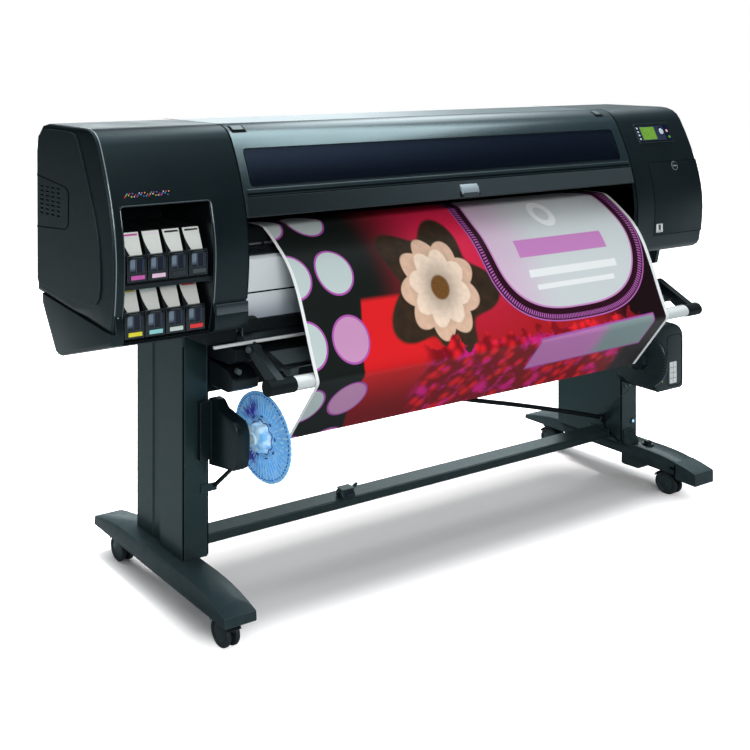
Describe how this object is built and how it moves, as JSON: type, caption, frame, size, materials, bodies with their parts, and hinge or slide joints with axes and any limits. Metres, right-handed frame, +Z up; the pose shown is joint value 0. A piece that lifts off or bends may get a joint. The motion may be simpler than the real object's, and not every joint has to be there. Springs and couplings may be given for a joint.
{
  "type": "wide-format inkjet printer",
  "caption": "Wide-format roll printer on a castored stand: curved covers, ink bay with pull-out drawers, lift-up window, side door, paper loop bar and take-up reel.",
  "frame": {"origin": "on the floor, under the centre of the machine's bounding box", "axes": "+X to the operator's right along the machine, -Y towards the operator, +Z up"},
  "size_m": [2.46, 0.725, 1.37],
  "materials": {
    "cover_charcoal": "satin moulded charcoal, fine spark texture",
    "cover_slate": "satin moulded slate grey, slight sheen",
    "stand_paint": "fine-textured powder coat",
    "black_plastic": "black, semi-matt",
    "caster_tread": "dull black tread",
    "smoked_pane": "clear-coated smoked sheet, see-through",
    "silver_tab": "silver-grey satin",
    "cartridge_white": "warm white, faint label",
    "guide_grey": "glossy light grey",
    "bar_white": "smooth white bar with black end sleeves",
    "roll_paper": "uncoated white roll paper",
    "printed_paper": null,
    "panel_navy": "glossy dark navy",
    "key_grey": "light grey key tops",
    "key_pink": "pale pink key top",
    "key_green": "green key top",
    "flange_blue": "translucent blue, ribbed"
  },
  "bodies": {
    "printer": {"left_foot": "stand_paint", "right_foot": "stand_paint", "left_column": "stand_paint", "right_column": "stand_paint", "crossbar": "stand_paint", "loop_sensor": "cover_slate", "chassis": "black_plastic", "left_side_cover": "cover_charcoal", "left_hood": "cover_charcoal", "left_tub": "cover_charcoal", "ink_bay": "black_plastic", "top_cover": "cover_slate", "right_housing": "cover_slate", "control_panel": "panel_navy", "output_guide": "guide_grey", "under_tray": "black_plastic", "media_sheet": "printed_paper", "takeup_bracket": "stand_paint", "takeup_drive": "cover_charcoal"},
    "caster_front_left": {"caster_fork_front_left": "black_plastic"},
    "wheel_front_left": {"caster_wheel_front_left": "caster_tread"},
    "caster_rear_left": {"caster_fork_rear_left": "black_plastic"},
    "wheel_rear_left": {"caster_wheel_rear_left": "caster_tread"},
    "caster_front_right": {"caster_fork_front_right": "black_plastic"},
    "wheel_front_right": {"caster_wheel_front_right": "caster_tread"},
    "caster_rear_right": {"caster_fork_rear_right": "black_plastic"},
    "wheel_rear_right": {"caster_wheel_rear_right": "caster_tread"},
    "drawer_1": {"ink_drawer_1": "black_plastic", "ink_cartridge_1": "cartridge_white"},
    "drawer_2": {"ink_drawer_2": "black_plastic", "ink_cartridge_2": "cartridge_white"},
    "drawer_3": {"ink_drawer_3": "black_plastic", "ink_cartridge_3": "cartridge_white"},
    "drawer_4": {"ink_drawer_4": "black_plastic", "ink_cartridge_4": "cartridge_white"},
    "drawer_5": {"ink_drawer_5": "black_plastic", "ink_cartridge_5": "cartridge_white"},
    "drawer_6": {"ink_drawer_6": "black_plastic", "ink_cartridge_6": "cartridge_white"},
    "drawer_7": {"ink_drawer_7": "black_plastic", "ink_cartridge_7": "cartridge_white"},
    "drawer_8": {"ink_drawer_8": "black_plastic", "ink_cartridge_8": "cartridge_white"},
    "key_soft_1": {"soft_key_1": "key_grey"},
    "key_soft_2": {"soft_key_2": "key_grey"},
    "key_soft_3": {"soft_key_3": "key_grey"},
    "key_soft_4": {"soft_key_4": "key_grey"},
    "key_nav": {"nav_key": "key_grey"},
    "key_back": {"back_key": "key_pink"},
    "key_power": {"power_key": "key_green"},
    "service_door": {"right_door": "cover_slate", "door_latch": "black_plastic"},
    "window": {"window_frame": "cover_slate", "window_pane": "smoked_pane", "window_handle": "silver_tab"},
    "carriage": {"print_carriage": "black_plastic"},
    "loop_shaper": {"loop_bar": "bar_white"},
    "reel_flange": {"takeup_flange": "flange_blue"},
    "reel_hub": {"takeup_hub": "black_plastic"},
    "paper_supply": {"supply_roll": "roll_paper"}
  },
  "joints": [
    {"name": "swivel_front_left", "type": "hinge", "parent": "printer", "child": "caster_front_left", "pos_m": [-0.89, -0.244, 0.038], "axis": [0, 0, 1], "continuous": true},
    {"name": "roll_front_left", "type": "hinge", "parent": "caster_front_left", "child": "wheel_front_left", "pos_m": [-0.89, -0.262, 0.038], "axis": [1, 0, 0], "continuous": true},
    {"name": "swivel_rear_left", "type": "hinge", "parent": "printer", "child": "caster_rear_left", "pos_m": [-0.89, 0.2915, 0.038], "axis": [0, 0, 1], "continuous": true},
    {"name": "roll_rear_left", "type": "hinge", "parent": "caster_rear_left", "child": "wheel_rear_left", "pos_m": [-0.89, 0.2735, 0.038], "axis": [1, 0, 0], "continuous": true},
    {"name": "swivel_front_right", "type": "hinge", "parent": "printer", "child": "caster_front_right", "pos_m": [1.085, -0.197, 0.038], "axis": [0, 0, 1], "continuous": true},
    {"name": "roll_front_right", "type": "hinge", "parent": "caster_front_right", "child": "wheel_front_right", "pos_m": [1.085, -0.215, 0.038], "axis": [1, 0, 0], "continuous": true},
    {"name": "swivel_rear_right", "type": "hinge", "parent": "printer", "child": "caster_rear_right", "pos_m": [1.1, 0.2915, 0.038], "axis": [0, 0, 1], "continuous": true},
    {"name": "roll_rear_right", "type": "hinge", "parent": "caster_rear_right", "child": "wheel_rear_right", "pos_m": [1.1, 0.2735, 0.038], "axis": [1, 0, 0], "continuous": true},
    {"name": "drawer_slide_1", "type": "slide", "parent": "printer", "child": "drawer_1", "axis": [0, -1, 0], "range_m": [0, 0.14]},
    {"name": "drawer_slide_2", "type": "slide", "parent": "printer", "child": "drawer_2", "axis": [0, -1, 0], "range_m": [0, 0.14]},
    {"name": "drawer_slide_3", "type": "slide", "parent": "printer", "child": "drawer_3", "axis": [0, -1, 0], "range_m": [0, 0.14]},
    {"name": "drawer_slide_4", "type": "slide", "parent": "printer", "child": "drawer_4", "axis": [0, -1, 0], "range_m": [0, 0.14]},
    {"name": "drawer_slide_5", "type": "slide", "parent": "printer", "child": "drawer_5", "axis": [0, -1, 0], "range_m": [0, 0.14]},
    {"name": "drawer_slide_6", "type": "slide", "parent": "printer", "child": "drawer_6", "axis": [0, -1, 0], "range_m": [0, 0.14]},
    {"name": "drawer_slide_7", "type": "slide", "parent": "printer", "child": "drawer_7", "axis": [0, -1, 0], "range_m": [0, 0.14]},
    {"name": "drawer_slide_8", "type": "slide", "parent": "printer", "child": "drawer_8", "axis": [0, -1, 0], "range_m": [0, 0.14]},
    {"name": "soft_key_1_press", "type": "slide", "parent": "printer", "child": "key_soft_1", "axis": [0, 0.9201, -0.3916], "range_m": [0, 0.001], "stiffness_N_per_m": 400},
    {"name": "soft_key_2_press", "type": "slide", "parent": "printer", "child": "key_soft_2", "axis": [0, 0.9201, -0.3916], "range_m": [0, 0.001], "stiffness_N_per_m": 400},
    {"name": "soft_key_3_press", "type": "slide", "parent": "printer", "child": "key_soft_3", "axis": [0, 0.9201, -0.3916], "range_m": [0, 0.001], "stiffness_N_per_m": 400},
    {"name": "soft_key_4_press", "type": "slide", "parent": "printer", "child": "key_soft_4", "axis": [0, 0.9201, -0.3916], "range_m": [0, 0.001], "stiffness_N_per_m": 400},
    {"name": "nav_key_press", "type": "slide", "parent": "printer", "child": "key_nav", "axis": [0, 0.9201, -0.3916], "range_m": [0, 0.001], "stiffness_N_per_m": 400},
    {"name": "back_key_press", "type": "slide", "parent": "printer", "child": "key_back", "axis": [0, 0.9201, -0.3916], "range_m": [0, 0.001], "stiffness_N_per_m": 400},
    {"name": "power_key_press", "type": "slide", "parent": "printer", "child": "key_power", "axis": [0, 0.9201, -0.3916], "range_m": [0, 0.001], "stiffness_N_per_m": 400},
    {"name": "door_hinge", "type": "hinge", "parent": "printer", "child": "service_door", "pos_m": [1.0908, -0.24597, 0.934], "axis": [1, 0, 0], "range_deg": [0, 95]},
    {"name": "window_hinge", "type": "hinge", "parent": "printer", "child": "window", "pos_m": [0.0265, -0.0985, 1.3697], "axis": [-1, 0, 0], "range_deg": [0, 70]},
    {"name": "carriage_slide", "type": "slide", "parent": "printer", "child": "carriage", "axis": [-1, 0, 0], "range_m": [0, 1.72]},
    {"name": "loop_swing", "type": "hinge", "parent": "printer", "child": "loop_shaper", "pos_m": [0.1135, -0.231, 0.761], "axis": [1, 0, 0], "range_deg": [0, 35]},
    {"name": "takeup_spin", "type": "hinge", "parent": "printer", "child": "reel_flange", "pos_m": [-0.7, -0.177, 0.492], "axis": [1, 0, 0], "continuous": true},
    {"name": "hub_spin", "type": "hinge", "parent": "printer", "child": "reel_hub", "pos_m": [0.975, -0.177, 0.492], "axis": [1, 0, 0], "continuous": true},
    {"name": "supply_spin", "type": "hinge", "parent": "printer", "child": "paper_supply", "pos_m": [0.052, 0.262, 0.93], "axis": [1, 0, 0], "continuous": true}
  ],
  "couplings": [
    {"joint": "hub_spin", "follows": "takeup_spin", "ratio": 1},
    {"joint": "supply_spin", "follows": "takeup_spin", "ratio": 0.75}
  ]
}
